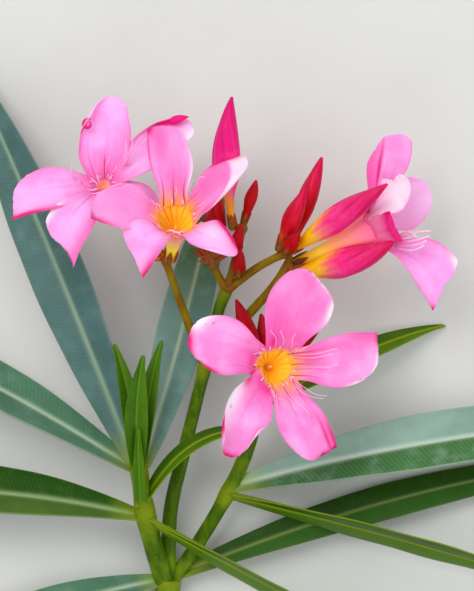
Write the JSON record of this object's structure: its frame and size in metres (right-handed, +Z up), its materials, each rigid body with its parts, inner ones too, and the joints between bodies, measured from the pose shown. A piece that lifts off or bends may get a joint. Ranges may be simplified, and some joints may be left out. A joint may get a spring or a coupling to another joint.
{
  "type": "cut flowering oleander branch",
  "caption": "Cut oleander branch lying on its back, with forked green stems, long narrow leaves, pointed buds and open pink five-petalled blooms.",
  "frame": {"origin": "centre of the box of the lying branch, on the surface that it lies on", "axes": "+Y along the main stem from its cut end to the blooms, +X across it to the right, +Z up from the surface, towards the viewer who looks down on the blooms"},
  "size_m": [0.2398, 0.1628, 0.0444],
  "materials": {
    "green_bark": "smooth green bark, satin",
    "flower_stalk": "smooth brownish young bark, satin",
    "green_leaf": "leathery leaf with a pale midrib",
    "grey_leaf": "leathery leaf with a grey-green bloom",
    "petal": "soft matt pink petal",
    "large_bud": "smooth twisted crimson bud",
    "small_bud": "smooth dark red bud",
    "bract": "dry reddish-brown bracts"
  },
  "bodies": {
    "root": {"main_stem": "green_bark", "left_shoot": "green_bark", "flower_stalk": "green_bark", "right_shoot": "green_bark", "left_flower_stalk": "flower_stalk", "right_flower_stalk": "flower_stalk", "tuft_stalk": "flower_stalk", "middle_bud_stalk": "flower_stalk", "cluster_stalk": "flower_stalk", "leaf_lower_left": "green_leaf", "leaf_crossing": "green_leaf", "leaf_short": "green_leaf", "leaf_lower_right": "green_leaf", "leaf_behind": "green_leaf", "fork_leaf_left": "green_leaf", "fork_leaf_right": "green_leaf", "young_leaf_left": "green_leaf", "young_leaf_middle": "green_leaf", "young_leaf_dark": "green_leaf", "young_leaf_front": "green_leaf", "leaf_upper_left": "grey_leaf", "leaf_left": "grey_leaf", "leaf_inner": "grey_leaf", "leaf_right": "grey_leaf", "flower_front": "petal", "flower_middle": "petal", "flower_left": "petal", "flower_right": "petal", "tall_bud": "large_bud", "cluster_bud_left": "large_bud", "cluster_bud_tall": "large_bud", "long_bud_upper": "large_bud", "long_bud_lower": "large_bud", "small_bud_upper": "small_bud", "small_bud_middle": "small_bud", "small_bud_lower": "small_bud", "hidden_bud": "small_bud", "cluster_bud_small": "small_bud", "rear_bud_left": "small_bud", "rear_bud_middle": "small_bud", "rear_bud_right": "small_bud", "bract_tuft": "bract"}
  },
  "joints": []
}
